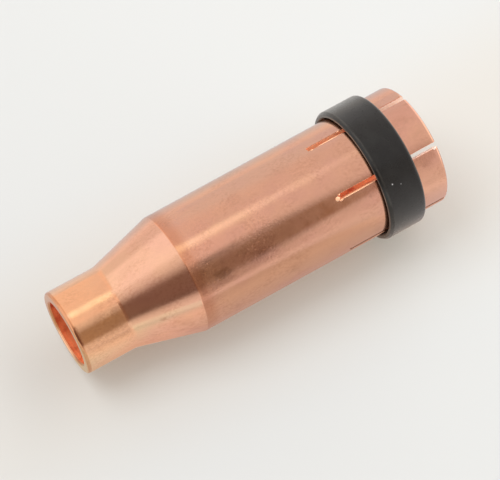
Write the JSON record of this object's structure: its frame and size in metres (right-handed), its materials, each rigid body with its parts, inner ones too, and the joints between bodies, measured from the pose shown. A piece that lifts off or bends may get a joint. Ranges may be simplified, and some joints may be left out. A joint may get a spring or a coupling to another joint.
{
  "type": "welding gas nozzle",
  "caption": "Turned copper gas nozzle for a welding torch, with a conical shoulder, a narrow open tip and a slotted rear end held by a blackened steel clamp ring.",
  "frame": {"origin": "centre of the plane of the slotted rear end, on which the nozzle stands", "axes": "+Z along the bore towards the tip; the first saw cut runs 24 degrees clockwise of +X seen from the tip"},
  "size_m": [0.0272, 0.0272, 0.076],
  "materials": {
    "turned_copper": "satin polished copper with fine turning marks",
    "blackened_steel": "satin black oxide on steel"
  },
  "bodies": {
    "root": {"nozzle_body": "turned_copper", "clamp_ring": "blackened_steel"}
  },
  "joints": []
}
